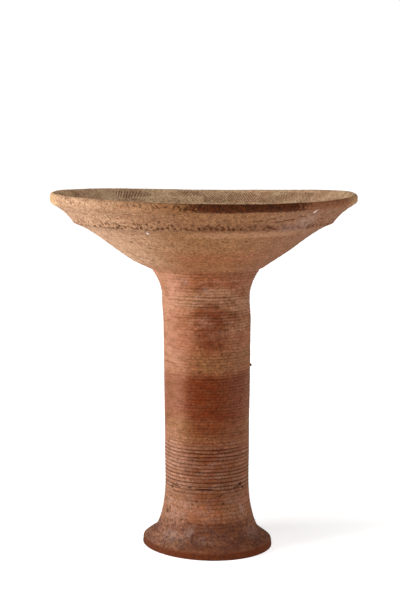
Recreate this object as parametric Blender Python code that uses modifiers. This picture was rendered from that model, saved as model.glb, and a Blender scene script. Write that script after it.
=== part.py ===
"""Terracotta ablution vessel: a wide shallow bowl on a tall, hollow, ribbed pedestal.

The bowl, the pedestal and its spreading foot were thrown in sections, luted together wet
and fired as one, so the whole vessel is one solid.  All sizes are in metres, and +Z is up.
"""

import math

import bmesh
import bpy
import numpy as np
from mathutils import Vector
from mathutils.geometry import interpolate_bezier

NAME = "ablution_vessel"

# Pedestal, from the floor up to the corner where the bowl begins
PEDESTAL_HEIGHT = 0.517
STEM_RADIUS = 0.0818
STEM_WALL = 0.0125
NECK_FLARE = 0.0188
NECK_DROP = 0.0505
WAIST_HEIGHT = 0.180
WAIST_NARROWING = 0.0026
ANKLE_HEIGHT = 0.035
ANKLE_SPREAD = 0.0146

# Foot
FLANGE_WIDTH = 0.0257
FOOT_EDGE_HEIGHT = 0.0132
FOOT_EDGE_ROUND = 0.0013
FOOT_RING_WIDTH = 0.022

# Turning ribs on the pedestal
RIB_PITCH = 0.0068
RIB_FAINT_DEPTH = 0.0007
RIB_DEEP_DEPTH = 0.0018
PLAIN_ANKLE_BAND = 0.012
DEEP_RIBS_MIDDLE = 0.162
DEEP_RIBS_SPAN = 0.078
DEEP_RIBS_FADE = 0.020

# Bowl
BOWL_DEPTH = 0.137
RIM_RADIUS = 0.2805
BOWL_WALL = 0.0145
LIP_WIDTH = 0.0125
LIP_FACE = 0.0055
LIP_DROP = 0.0157
LIP_ROUND = 0.006
LIP_CHAMFER = 0.0025
CAVETTO_WIDTH = 0.0410
CAVETTO_DROP = 0.0360
FLOOR_RADIUS = 0.030
FLOOR_DROP = 0.0205
FLOOR_THICKNESS = 0.017

# Shares of the way from the neck out to the carination, where the underside is steepest
OGEE_OUT = 0.60
OGEE_UP = 0.62

# Slopes of the outline in degrees, measured from the horizontal
CAVETTO_TOP_SLOPE = 30
CAVETTO_FOOT_SLOPE = 58
SHOULDER_SLOPE = 19
OGEE_SLOPE = 38
NECK_SLOPE = 25
NECK_TURN_SLOPE = 56
ANKLE_SLOPE = 66
FLANGE_SLOPE = 42
INNER_LIP_SLOPE = 42

# How far the hand-made vessel strays from a true turned shape
RIM_SADDLE = 0.0036
RIM_SADDLE_TOWARDS = 7
RIM_RIPPLE = 0.0010
RIM_RIPPLE_TOWARDS = 15
RIM_TILT = 0.0020
RIM_TILT_TOWARDS = 168
STEM_OFF_CENTRE = 0.0063
NECK_OFF_CENTRE = 0.0040
FOOT_BULGE = 0.052
FOOT_BULGE_TOWARDS = -42

# Heights over which the bowl settled sideways on the pedestal
NECK_SHIFT_DEPTH = 0.017
STEM_BEND_DEPTH = 0.050

# Facets round the bowl; the slimmer pedestal has half as many
BOWL_FACETS = 44
UPRIGHT_TOLERANCE = 0.1
MERGE_DISTANCE = 0.00005
SHARP_ANGLE = 40
OUTLINE_PIECES = 24

# Fired clay
CLAY_COLOUR = (0.42, 0.20, 0.11, 1.0)
CLAY_ROUGHNESS = 0.92

# Places that follow from the sizes
RIM_HEIGHT = PEDESTAL_HEIGHT + BOWL_DEPTH
WAIST_RADIUS = STEM_RADIUS - WAIST_NARROWING
ANKLE_RADIUS = WAIST_RADIUS + ANKLE_SPREAD
FOOT_RADIUS = ANKLE_RADIUS + FLANGE_WIDTH
LIP_BOTTOM = (RIM_RADIUS - LIP_CHAMFER, RIM_HEIGHT - LIP_DROP)
CARINATION = (LIP_BOTTOM[0] - CAVETTO_WIDTH, LIP_BOTTOM[1] - CAVETTO_DROP)
NECK = (STEM_RADIUS + NECK_FLARE, PEDESTAL_HEIGHT)
OGEE = (
    NECK[0] + OGEE_OUT * (CARINATION[0] - NECK[0]),
    NECK[1] + OGEE_UP * (CARINATION[1] - NECK[1]),
)

# Compass directions of an outline that runs down the outside, in degrees from +X
OUTWARDS, UPWARDS, INWARDS, DOWNWARDS = 0, 90, 180, 270


def stretch(start, leaving, end, arriving, pieces):
    """Points of a smooth curve after start, up to end, with its directions at both ends."""
    reach = math.dist(start, end) / 3
    first, last = math.radians(leaving), math.radians(arriving)
    handle_1 = (start[0] + reach * math.cos(first), start[1] + reach * math.sin(first))
    handle_2 = (end[0] - reach * math.cos(last), end[1] - reach * math.sin(last))
    curve = interpolate_bezier(start, handle_1, handle_2, end, pieces + 1)
    return [(point.x, point.y) for point in curve[1:]]


def inside_of(point, direction):
    """The point of the bowl's inner face that lies one wall away from the outer one."""
    across = math.radians(direction - 90)
    return (
        point[0] + BOWL_WALL * math.cos(across),
        point[1] + BOWL_WALL * math.sin(across),
    )


def bowl_inside():
    """From the middle of the bowl's floor, out and up to the crest of the lip."""
    over_neck = inside_of(NECK, INWARDS + NECK_SLOPE)
    over_ogee = inside_of(OGEE, INWARDS + OGEE_SLOPE)
    floor = over_neck[1] - FLOOR_DROP
    floor_edge = (FLOOR_RADIUS, floor)
    lip_inner = (RIM_RADIUS - LIP_WIDTH, RIM_HEIGHT - LIP_ROUND / 2)
    crest = (RIM_RADIUS - LIP_ROUND, RIM_HEIGHT)
    points = [(0.0, floor), floor_edge]
    points += stretch(floor_edge, OUTWARDS, over_neck, NECK_SLOPE, 3)
    points += stretch(over_neck, NECK_SLOPE, over_ogee, OGEE_SLOPE, 3)
    points += stretch(over_ogee, OGEE_SLOPE, lip_inner, INNER_LIP_SLOPE, 4)
    points += stretch(lip_inner, INNER_LIP_SLOPE, crest, OUTWARDS, 2)
    return points


def bowl_outside():
    """From the crest of the lip, down over the lip and the carination, to the neck."""
    crest = (RIM_RADIUS - LIP_ROUND, RIM_HEIGHT)
    face_top = (RIM_RADIUS, RIM_HEIGHT - LIP_ROUND)
    face_bottom = (RIM_RADIUS, face_top[1] - LIP_FACE)
    under_lip = INWARDS + CAVETTO_TOP_SLOPE
    points = stretch(crest, OUTWARDS, face_top, DOWNWARDS, 2)
    points += [face_bottom, LIP_BOTTOM]
    points += stretch(LIP_BOTTOM, under_lip, CARINATION, INWARDS + CAVETTO_FOOT_SLOPE, 5)
    points += stretch(CARINATION, INWARDS + SHOULDER_SLOPE, OGEE, INWARDS + OGEE_SLOPE, 4)
    points += stretch(OGEE, INWARDS + OGEE_SLOPE, NECK, INWARDS + NECK_SLOPE, 4)
    return points


def pedestal_outline():
    """The smooth outline over the ribs, from the neck down to the ankle."""
    shoulder = (STEM_RADIUS, PEDESTAL_HEIGHT - NECK_DROP)
    waist = (WAIST_RADIUS, WAIST_HEIGHT)
    ankle = (ANKLE_RADIUS, ANKLE_HEIGHT)
    points = [NECK]
    points += stretch(NECK, INWARDS + NECK_TURN_SLOPE, shoulder, DOWNWARDS, OUTLINE_PIECES)
    points += stretch(shoulder, DOWNWARDS, waist, DOWNWARDS, OUTLINE_PIECES)
    points += stretch(waist, DOWNWARDS, ankle, -ANKLE_SLOPE, OUTLINE_PIECES)
    return points


def ease(value, low, high):
    """0 below low, 1 above high, and a smooth rise between them."""
    share = min(1.0, max(0.0, (value - low) / (high - low)))
    return share * share * (3 - 2 * share)


def rib_depth(height):
    """Grooves are faint all the way up, and cut deeper in a band that fades out."""
    low = DEEP_RIBS_MIDDLE - DEEP_RIBS_SPAN / 2
    high = DEEP_RIBS_MIDDLE + DEEP_RIBS_SPAN / 2
    share = ease(height, low - DEEP_RIBS_FADE, low)
    share -= ease(height, high, high + DEEP_RIBS_FADE)
    return RIB_FAINT_DEPTH + share * (RIB_DEEP_DEPTH - RIB_FAINT_DEPTH)


def ribs():
    """Grooves and crests by turns, from the neck down to the plain band at the ankle."""
    rising = pedestal_outline()[::-1]
    radii, heights = zip(*rising)
    count = int((PEDESTAL_HEIGHT - ANKLE_HEIGHT - PLAIN_ANKLE_BAND) / RIB_PITCH)
    points = []
    for number in range(count):
        groove = PEDESTAL_HEIGHT - (number + 0.5) * RIB_PITCH
        crest = groove - RIB_PITCH / 2
        groove_radius = float(np.interp(groove, heights, radii)) - rib_depth(groove)
        points.append((groove_radius, groove))
        points.append((float(np.interp(crest, heights, radii)), crest))
    return points


def foot_outside():
    """From the ankle out over the flange, round its edge and on to the resting ring."""
    ankle = (ANKLE_RADIUS, ANKLE_HEIGHT)
    edge_top = (FOOT_RADIUS - FOOT_EDGE_ROUND, FOOT_EDGE_HEIGHT)
    edge = (FOOT_RADIUS, FOOT_EDGE_HEIGHT / 2)
    ring_outer = (FOOT_RADIUS - FOOT_EDGE_ROUND, 0.0)
    points = [ankle]
    points += stretch(ankle, -ANKLE_SLOPE, edge_top, -FLANGE_SLOPE, 5)
    points += stretch(edge_top, -FLANGE_SLOPE, edge, DOWNWARDS, 2)
    points += stretch(edge, DOWNWARDS, ring_outer, INWARDS, 2)
    return points


def pedestal_inside():
    """From the resting ring up the hollow stem to the dome under the bowl's floor."""
    ring_inner = (FOOT_RADIUS - FOOT_RING_WIDTH, 0.0)
    ankle = (ANKLE_RADIUS - STEM_WALL, ANKLE_HEIGHT)
    waist = (WAIST_RADIUS - STEM_WALL, WAIST_HEIGHT)
    shoulder = (STEM_RADIUS - STEM_WALL, PEDESTAL_HEIGHT - NECK_DROP)
    dome = (0.0, bowl_inside()[0][1] - FLOOR_THICKNESS)
    points = [ring_inner]
    points += stretch(ring_inner, INWARDS - FLANGE_SLOPE, ankle, INWARDS - ANKLE_SLOPE, 3)
    points += stretch(ankle, INWARDS - ANKLE_SLOPE, waist, UPWARDS, 3)
    points += stretch(waist, UPWARDS, shoulder, UPWARDS, 3)
    points += stretch(shoulder, UPWARDS, dome, INWARDS, 4)
    return points


def turned(outline):
    """The outline turned once round the Z axis, as a mesh."""
    profile = bpy.data.meshes.new("profile")
    corners = [(radius, 0.0, height) for radius, height in outline]
    edges = [(index, index + 1) for index in range(len(corners) - 1)]
    profile.from_pydata(corners, edges, [])
    lathe = bpy.data.objects.new("lathe", profile)
    bpy.context.scene.collection.objects.link(lathe)
    screw = lathe.modifiers.new("turn", "SCREW")
    screw.axis = "Z"
    screw.steps = screw.render_steps = BOWL_FACETS
    screw.use_merge_vertices = True
    screw.merge_threshold = MERGE_DISTANCE
    evaluated = lathe.evaluated_get(bpy.context.evaluated_depsgraph_get())
    mesh = bpy.data.meshes.new_from_object(evaluated)
    bpy.data.objects.remove(lathe)
    bpy.data.meshes.remove(profile)
    return mesh


def halve_pedestal_facets(mesh):
    """Dissolves every second upright line of edges below the neck, where the round is smaller."""
    shape = bmesh.new()
    shape.from_mesh(mesh)
    facet = 2 * math.pi / BOWL_FACETS
    spare = []
    for edge in shape.edges:
        middle = (edge.verts[0].co + edge.verts[1].co) / 2
        turn = math.atan2(middle.y, middle.x) / facet
        upright = abs(turn - round(turn)) < UPRIGHT_TOLERANCE
        below_neck = max(vertex.co.z for vertex in edge.verts) < PEDESTAL_HEIGHT
        if upright and below_neck and round(turn) % 2:
            spare.append(edge)
    bmesh.ops.dissolve_edges(shape, edges=spare, use_verts=True)
    shape.to_mesh(mesh)
    shape.free()


def lobes(around, count, towards):
    """A wave with a number of crests round the axis, one of them in a given direction."""
    return math.cos(count * (around - math.radians(towards)))


def settled(point):
    """Where a point of the true turned shape lies on the hand-made, uneven vessel."""
    around = math.atan2(point.y, point.x)
    lift = RIM_SADDLE * lobes(around, 2, RIM_SADDLE_TOWARDS)
    lift += RIM_RIPPLE * lobes(around, 3, RIM_RIPPLE_TOWARDS)
    lift += RIM_TILT * lobes(around, 1, RIM_TILT_TOWARDS)
    lift *= ease(point.z, LIP_BOTTOM[1], RIM_HEIGHT)
    swell = FOOT_BULGE * lobes(around, 2, FOOT_BULGE_TOWARDS)
    swell *= 1 - ease(point.z, 0.0, WAIST_HEIGHT / 2)
    shoulder = PEDESTAL_HEIGHT - NECK_DROP
    bend = STEM_OFF_CENTRE - NECK_OFF_CENTRE
    aside = STEM_OFF_CENTRE - bend * ease(point.z, shoulder - STEM_BEND_DEPTH, shoulder)
    settled_height = PEDESTAL_HEIGHT + NECK_SHIFT_DEPTH
    aside -= NECK_OFF_CENTRE * ease(point.z, PEDESTAL_HEIGHT, settled_height)
    return Vector((point.x * (1 + swell) + aside, point.y * (1 + swell), point.z + lift))


def fired_clay():
    """Bare, low-fired, coarse-tempered clay."""
    material = bpy.data.materials.new("fired_clay")
    material.use_nodes = True
    shader = material.node_tree.nodes["Principled BSDF"]
    shader.inputs["Base Color"].default_value = CLAY_COLOUR
    shader.inputs["Roughness"].default_value = CLAY_ROUGHNESS
    shader.inputs["Metallic"].default_value = 0.0
    return material


def vessel():
    """The bowl, pedestal and foot in one turned, settled solid."""
    outline = bowl_inside() + bowl_outside() + ribs() + foot_outside() + pedestal_inside()
    mesh = turned(outline)
    halve_pedestal_facets(mesh)
    for vertex in mesh.vertices:
        vertex.co = settled(vertex.co)
    mesh.name = NAME
    mesh.materials.append(fired_clay())
    mesh.shade_smooth()
    mesh.set_sharp_from_angle(angle=math.radians(SHARP_ANGLE))
    return bpy.data.objects.new(NAME, mesh)


def main():
    for old in list(bpy.data.objects):
        bpy.data.objects.remove(old)
    collection = bpy.data.collections.new(NAME)
    bpy.context.scene.collection.children.link(collection)
    collection.objects.link(vessel())


main()
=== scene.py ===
# %% [markdown]
# # A terracotta ablution vessel
# This lesson makes one pot: a wide, shallow bowl on a tall, ribbed, hollow pedestal. It was thrown
# on a wheel in sections, joined while the clay was wet, and fired once without a glaze.
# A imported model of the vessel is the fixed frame. It has the true outline but no fine relief, so
# the lesson turns the same outline again as a much finer mesh, and carves that.

# %% Load the fixed frame
import math

import bpy
import numpy as np
from mathutils.geometry import interpolate_bezier
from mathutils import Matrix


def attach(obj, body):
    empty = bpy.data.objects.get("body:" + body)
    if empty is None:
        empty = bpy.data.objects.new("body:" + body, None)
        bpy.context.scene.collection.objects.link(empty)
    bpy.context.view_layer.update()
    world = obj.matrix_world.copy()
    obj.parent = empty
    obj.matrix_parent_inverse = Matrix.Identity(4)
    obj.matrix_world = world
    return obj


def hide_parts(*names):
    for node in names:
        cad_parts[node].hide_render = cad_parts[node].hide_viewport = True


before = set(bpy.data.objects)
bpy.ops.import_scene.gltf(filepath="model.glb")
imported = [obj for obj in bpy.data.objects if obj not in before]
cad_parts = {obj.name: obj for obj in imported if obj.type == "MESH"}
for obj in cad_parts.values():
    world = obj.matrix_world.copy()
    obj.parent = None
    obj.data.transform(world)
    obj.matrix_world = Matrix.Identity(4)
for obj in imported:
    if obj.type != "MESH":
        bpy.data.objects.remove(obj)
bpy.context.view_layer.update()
SOLID = "ablution_vessel"

# %% [markdown]
# ## The sizes of the pot
# The frame is in metres. These are the sizes that the potter's profile follows, from the foot up
# to the lip, and they are the ones that the solid was turned from.

# %% Sizes of the pedestal
MM = 0.001
PEDESTAL_HEIGHT = 517 * MM
STEM_RADIUS = 81.8 * MM
STEM_WALL = 12.5 * MM
NECK_FLARE = 18.8 * MM
NECK_DROP = 50.5 * MM
WAIST_HEIGHT = 180 * MM
WAIST_RADIUS = STEM_RADIUS - 2.6 * MM
ANKLE_HEIGHT = 35 * MM
ANKLE_RADIUS = WAIST_RADIUS + 14.6 * MM
FOOT_RADIUS = ANKLE_RADIUS + 25.7 * MM
FOOT_EDGE_HEIGHT = 13.2 * MM
FOOT_EDGE_ROUND = 1.3 * MM
FOOT_RING_WIDTH = 22 * MM
print("stem", round(2 * STEM_RADIUS / MM), "mm across, foot", round(2 * FOOT_RADIUS / MM), "mm")

# %% Sizes of the bowl
RIM_HEIGHT = PEDESTAL_HEIGHT + 137 * MM
RIM_RADIUS = 280.5 * MM
BOWL_WALL = 14.5 * MM
LIP_WIDTH = 12.5 * MM
LIP_FACE = 5.5 * MM
LIP_ROUND = 6 * MM
LIP_BOTTOM = (RIM_RADIUS - 2.5 * MM, RIM_HEIGHT - 15.7 * MM)
SHOULDER = (LIP_BOTTOM[0] - 41 * MM, LIP_BOTTOM[1] - 36 * MM)
NECK = (STEM_RADIUS + NECK_FLARE, PEDESTAL_HEIGHT)
BELLY_OUT, BELLY_UP = 0.60, 0.62
BELLY = (
    NECK[0] + BELLY_OUT * (SHOULDER[0] - NECK[0]),
    NECK[1] + BELLY_UP * (SHOULDER[1] - NECK[1]),
)
FLOOR_RADIUS, FLOOR_DROP, FLOOR_THICKNESS = 30 * MM, 20.5 * MM, 17 * MM

# %% [markdown]
# ## One line for the whole wall
# A potter's template is a curve, so the wall is one line in the plane of radius and height. It
# starts in the middle of the bowl's floor, climbs to the lip, runs down the outside to the foot
# and goes up inside the hollow pedestal. Each stretch is a Bezier curve that leaves and arrives
# at a known slope, which is how a turner reads a profile: so wide, so high, so steep.

# %% A curved stretch of the wall
OUTWARDS, UPWARDS, INWARDS, DOWNWARDS = 0, 90, 180, 270
CURVE_POINTS = 64


def stretch(start, leaving, end, arriving):
    """Points of a smooth curve after start, up to end, with its slopes in degrees."""
    reach = math.dist(start, end) / 3
    first, last = math.radians(leaving), math.radians(arriving)
    handle_1 = (start[0] + reach * math.cos(first), start[1] + reach * math.sin(first))
    handle_2 = (end[0] - reach * math.cos(last), end[1] - reach * math.sin(last))
    curve = interpolate_bezier(start, handle_1, handle_2, end, CURVE_POINTS)
    return [(point.x, point.y) for point in curve[1:]]


def one_wall_in(point, direction):
    """The point of the inner face across the bowl's wall from a point of the outer one."""
    across = math.radians(direction - 90)
    return point[0] + BOWL_WALL * math.cos(across), point[1] + BOWL_WALL * math.sin(across)


# %% The inside of the bowl
CREST = (RIM_RADIUS - LIP_ROUND, RIM_HEIGHT)
NECK_SLOPE, BELLY_SLOPE, SHOULDER_SLOPE, INNER_LIP_SLOPE = 25, 38, 19, 42
over_neck = one_wall_in(NECK, INWARDS + NECK_SLOPE)
over_belly = one_wall_in(BELLY, INWARDS + BELLY_SLOPE)
FLOOR = over_neck[1] - FLOOR_DROP
lip_inner = (RIM_RADIUS - LIP_WIDTH, RIM_HEIGHT - LIP_ROUND / 2)

inside = [(0.0, FLOOR), (FLOOR_RADIUS, FLOOR)]
inside += stretch(inside[-1], OUTWARDS, over_neck, NECK_SLOPE)
inside += stretch(over_neck, NECK_SLOPE, over_belly, BELLY_SLOPE)
inside += stretch(over_belly, BELLY_SLOPE, lip_inner, INNER_LIP_SLOPE)
inside += stretch(lip_inner, INNER_LIP_SLOPE, CREST, OUTWARDS)
print("bowl's floor at", round(FLOOR / MM), "mm, depth", round((RIM_HEIGHT - FLOOR) / MM), "mm")

# %% The lip, the hollow moulding below it and the underside of the bowl
MOULDING_TOP_SLOPE, MOULDING_FOOT_SLOPE = 30, 58
lip = [CREST] + stretch(CREST, OUTWARDS, (RIM_RADIUS, RIM_HEIGHT - LIP_ROUND), DOWNWARDS)
lip += [(RIM_RADIUS, RIM_HEIGHT - LIP_ROUND - LIP_FACE), LIP_BOTTOM]
moulding = [LIP_BOTTOM] + stretch(
    LIP_BOTTOM, INWARDS + MOULDING_TOP_SLOPE, SHOULDER, INWARDS + MOULDING_FOOT_SLOPE)
underside = [SHOULDER] + stretch(
    SHOULDER, INWARDS + SHOULDER_SLOPE, BELLY, INWARDS + BELLY_SLOPE)
underside += stretch(BELLY, INWARDS + BELLY_SLOPE, NECK, INWARDS + NECK_SLOPE)
print("the moulding drops", round((LIP_BOTTOM[1] - SHOULDER[1]) / MM), "mm")

# %% The pedestal and its foot
NECK_TURN_SLOPE, ANKLE_SLOPE, FLANGE_SLOPE = 56, 66, 42
STEM_TOP = PEDESTAL_HEIGHT - NECK_DROP
ankle = (ANKLE_RADIUS, ANKLE_HEIGHT)
stem = [NECK] + stretch(NECK, INWARDS + NECK_TURN_SLOPE, (STEM_RADIUS, STEM_TOP), DOWNWARDS)
stem += stretch(stem[-1], DOWNWARDS, (WAIST_RADIUS, WAIST_HEIGHT), DOWNWARDS)
stem += stretch(stem[-1], DOWNWARDS, ankle, -ANKLE_SLOPE)

edge_top = (FOOT_RADIUS - FOOT_EDGE_ROUND, FOOT_EDGE_HEIGHT)
edge = (FOOT_RADIUS, FOOT_EDGE_HEIGHT / 2)
ring_outer = (FOOT_RADIUS - FOOT_EDGE_ROUND, 0.0)
ring_inner = (FOOT_RADIUS - FOOT_RING_WIDTH, 0.0)
foot = [ankle] + stretch(ankle, -ANKLE_SLOPE, edge_top, -FLANGE_SLOPE)
foot += stretch(edge_top, -FLANGE_SLOPE, edge, DOWNWARDS)
foot += stretch(edge, DOWNWARDS, ring_outer, INWARDS)
print("the straight stem ends", round(STEM_TOP / MM), "mm above the table")

# %% The hollow inside the pedestal
ankle_inner = (ANKLE_RADIUS - STEM_WALL, ANKLE_HEIGHT)
waist_inner = (WAIST_RADIUS - STEM_WALL, WAIST_HEIGHT)
stem_inner = (STEM_RADIUS - STEM_WALL, STEM_TOP)
dome = (0.0, FLOOR - FLOOR_THICKNESS)
hollow = [ring_inner] + stretch(
    ring_inner, INWARDS - FLANGE_SLOPE, ankle_inner, INWARDS - ANKLE_SLOPE)
hollow += stretch(ankle_inner, INWARDS - ANKLE_SLOPE, waist_inner, UPWARDS)
hollow += stretch(waist_inner, UPWARDS, stem_inner, UPWARDS)
hollow += stretch(stem_inner, UPWARDS, dome, INWARDS)
print("the hollow goes up to", round(dome[1] / MM), "mm")

# %% [markdown]
# ## How fine the mesh has to be
# Relief only shows where the mesh has points to move. The cuts inside the lip are a few
# millimetres apart and the wheel grooves less than seven, so those stretches get a ring every
# millimetre or so and many points round, while the plain hollow gets few. The numbers of points
# round are powers of two, so that a fine ring and a coarse one meet without a gap.

# %% Even rings along each stretch
SCORED_WIDTH = 60 * MM


def lengths_along(points):
    """Distance along a line at each of its points."""
    steps = np.hypot(*np.diff(np.array(points), axis=0).T)
    return np.concatenate([[0.0], np.cumsum(steps)])


def even_points(points, step):
    """Points spaced evenly along a line, without its first one."""
    distance = lengths_along(points)
    count = max(2, round(distance[-1] / step))
    stops = np.linspace(0.0, distance[-1], count + 1)[1:]
    radii, heights = zip(*points)
    return list(zip(np.interp(stops, distance, radii), np.interp(stops, distance, heights)))


distance = lengths_along(inside)
cut_at = int(np.argmax(distance > distance[-1] - SCORED_WIDTH))
stretches = [
    # stretch, its line, step between rings, points round
    ("bowl inside", inside[:cut_at + 1], 4.0 * MM, 256),
    ("scored band", inside[cut_at:], 1.4 * MM, 2048),
    ("lip", lip, 1.0 * MM, 2048),
    ("moulding", moulding, 1.3 * MM, 1024),
    ("underside", underside, 1.9 * MM, 1024),
    ("stem", stem, 1.05 * MM, 512),
    ("foot", foot, 1.3 * MM, 512),
    ("resting ring", [ring_outer, ring_inner], 4.0 * MM, 256),
    ("hollow", hollow, 8.0 * MM, 128),
]
print(len(stretches), "stretches of wall")

# %% All rings, with their distance along the wall
ring_place, ring_name, ring_count = [inside[0]], ["bowl inside"], [1]
for name, line, step, points_round in stretches:
    for point in even_points(line, step):
        ring_place.append(point)
        ring_name.append(name)
        ring_count.append(points_round)
ring_count[-1] = 1
ring_place = np.array(ring_place)
heading = np.gradient(ring_place, axis=0)
heading /= np.hypot(heading[:, 0], heading[:, 1])[:, None]
ring_normal = np.stack([-heading[:, 1], heading[:, 0]], axis=1)
ring_run = lengths_along(ring_place)
ring_run -= ring_run[int(np.argmax(ring_place[:, 1]))]
print(len(ring_place), "rings and", sum(ring_count), "points before carving")

# %% [markdown]
# ## Clay is never quite even
# A hand-thrown wall wanders by a few tenths of a millimetre over a hand's breadth. A table of
# seeded random numbers, read with a smooth step between its cells, gives such a surface. The last
# column of the table meets the first, so no seam shows round the pot.

# %% A smooth random surface round the pot
def ease(value, low, high):
    """0 below low, 1 above high, and a smooth rise between them."""
    share = np.clip((value - low) / (high - low), 0, 1)
    return share * share * (3 - 2 * share)


def unevenness(seed, cell_length, cells_round):
    """A smooth random value from -1 to 1, by angle and distance along the wall."""
    rows = int((ring_run[-1] - ring_run[0]) / cell_length) + 3
    table = np.random.default_rng(seed).uniform(-1, 1, (rows, cells_round))

    def value(angle, run):
        row, row_share = divmod((run - ring_run[0]) / cell_length, 1)
        row_share = ease(row_share, 0, 1)
        line = table[int(row)] * (1 - row_share) + table[int(row) + 1] * row_share
        column, share = np.divmod(angle / (2 * math.pi) * cells_round, 1)
        column, share = column.astype(int) % cells_round, ease(share, 0, 1)
        return line[column] * (1 - share) + line[(column + 1) % cells_round] * share

    return value


# seed, length of a cell along the wall, cells round the pot
wander = unevenness(11, 70 * MM, 14)
swelling = unevenness(12, 24 * MM, 48)
coarse_grain = unevenness(13, 3.5 * MM, 420)
fine_grain = unevenness(14, 1.9 * MM, 900)
fading = unevenness(15, 14 * MM, 11)

# %% [markdown]
# ## Wheel grooves
# The pedestal was drawn up with a fingertip or a rib, which leaves a groove at every turn of the
# wheel. The grooves are narrow, and the ridges between them round. They are deep in a band above
# the foot, faint elsewhere, and closer together above the band. Each one wanders a little and
# fades in places.

# %% Wheel grooves on the pedestal
GROOVE_PITCH, FINE_PITCH, FINE_ABOVE = 6.8 * MM, 5.3 * MM, 212 * MM
GROOVE_HALF_WIDTH, GROOVE_WAVER = 1.1 * MM, 1.0 * MM
FAINT_DEPTH, EXTRA_DEPTH = 0.88, 1.05  # in millimetres
DEEP_BAND_STARTS = (110 * MM, 126 * MM)
DEEP_BAND_ENDS = (188 * MM, 208 * MM)
middles = [PEDESTAL_HEIGHT - FINE_PITCH / 2]
while middles[-1] > ANKLE_HEIGHT:
    middles.append(middles[-1] - (FINE_PITCH if middles[-1] > FINE_ABOVE else GROOVE_PITCH))
groove_draw = np.random.default_rng(21)
groove_middle = np.array(middles) + groove_draw.uniform(-0.5, 0.5, len(middles)) * MM
groove_force = groove_draw.uniform(0.8, 1.15, len(middles))
groove_waver = unevenness(22, GROOVE_PITCH, 9)
print(len(middles), "wheel grooves")


def groove_depth(height):
    """How deep the wheel grooves are at a height."""
    deep = ease(height, *DEEP_BAND_STARTS) - ease(height, *DEEP_BAND_ENDS)
    return (FAINT_DEPTH + EXTRA_DEPTH * deep) * MM


def wheel_grooves(angle, run, height):
    """Depth cut by the grooves near a height, at each angle."""
    cut = np.zeros_like(angle)
    for middle, own_force in zip(groove_middle, groove_force):
        if abs(height - middle) < GROOVE_PITCH:
            away = (height - middle + GROOVE_WAVER * groove_waver(angle, run)) / GROOVE_HALF_WIDTH
            force = own_force * (0.95 + 0.28 * fading(angle, run))
            cut = np.maximum(cut, groove_depth(height) * force * np.exp(-away * away))
    return cut


# %% [markdown]
# ## Cuts inside the lip
# While the clay was leather-hard, the potter scored the inside of the lip with slanting strokes,
# in blocks that lean one way and then the other. At the back, the strokes left of the middle are
# wide apart and short, and those right of it close together and long. A narrow part on the left
# was left smooth. The front, whose inside the camera can't see, repeats the pattern.

# %% Scored blocks inside the lip
SCORE_SLANT = math.tan(math.radians(38))
SCORE_DEPTH, SCORE_HALF_WIDTH = 1.6 * MM, 0.24  # the width is a share of the spacing
SCORED_TOP = 6 * MM
# Angles go round from the right, past the back at 90 and the left at 180, to the front at 270.
# The reach is how far down from the crest the strokes go.
SCORED_BLOCKS = [
    # start and end angle in degrees, spacing and reach in metres, lean
    (36, 68, 4.4 * MM, 50 * MM, 1),
    (68, 90, 5.6 * MM, 54 * MM, 1),
    (90, 134, 7.2 * MM, 31 * MM, -1),
    (150, 226, 5.0 * MM, 48 * MM, 1),
    (228, 290, 7.2 * MM, 31 * MM, -1),
    (293, 348, 5.0 * MM, 48 * MM, 1),
]


def scored_strokes(angle, below_crest):
    """Depth cut by the slanting strokes at a distance below the crest, at each angle."""
    cut = np.zeros_like(angle)
    degrees = np.degrees(angle) % 360
    for start, end, spacing, reach, lean in SCORED_BLOCKS:
        along = (angle * RIM_RADIUS + lean * below_crest * SCORE_SLANT) / spacing
        along += 0.15 * swelling(angle, -below_crest)
        away = (along % 1.0 - 0.5) / SCORE_HALF_WIDTH
        in_block = (degrees > start) & (degrees < end)
        fade = ease(below_crest, SCORED_TOP, 2 * SCORED_TOP)
        fade = fade - ease(below_crest, 0.8 * reach, reach)
        pressure = 0.8 + 0.5 * swelling(angle, SCORED_WIDTH - below_crest)
        force = SCORE_DEPTH * fade * pressure
        cut += in_block * force * np.exp(-away * away)
    return cut


print(len(SCORED_BLOCKS), "scored blocks")

# %% [markdown]
# ## Marks put in one by one
# Other marks are short strokes and dents with a place of their own: a row of notches along the
# shoulder, a few zigzag cuts on the lip, tears where grit dragged under the potter's rib,
# scratches on the moulding, and thousands of pits where straw and grit burnt or fell out. Each is
# written as an angle, a place along the wall, a half length, a half width, a depth and a lean,
# and one function carves all.

# %% Places on the wall
FRONT = -90


def run_at(name, share):
    """Distance along the wall at a share of the way through one stretch."""
    runs = ring_run[[index for index, other in enumerate(ring_name) if other == name]]
    return runs[0] + share * (runs[-1] - runs[0])


def run_at_height(height):
    """Distance along the wall where the outside of the stem passes a height."""
    rings = [index for index, name in enumerate(ring_name) if name == "stem"]
    return np.interp(-height, -ring_place[rings, 1], ring_run[rings])


shoulder_run = run_at("underside", 0.0)
print("the shoulder is", round(shoulder_run / MM), "mm from the crest along the wall")

# %% Notches along the shoulder
marks = []
NOTCH_PITCH = 10.0 * MM
notch_draw = np.random.default_rng(31)
notch_count = round(2 * math.pi * SHOULDER[0] / NOTCH_PITCH)
for number in range(notch_count):
    turn = (number + notch_draw.uniform(-0.25, 0.25)) * 360 / notch_count
    place = shoulder_run - notch_draw.uniform(0.0, 7.0) * MM
    half_length = notch_draw.uniform(1.8, 3.2) * MM
    half_width = notch_draw.uniform(1.5, 2.3) * MM
    depth = notch_draw.uniform(2.0, 3.2) * MM
    marks.append((turn, place, half_length, half_width, depth, notch_draw.uniform(55, 125)))
print(notch_count, "notches")

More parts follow.
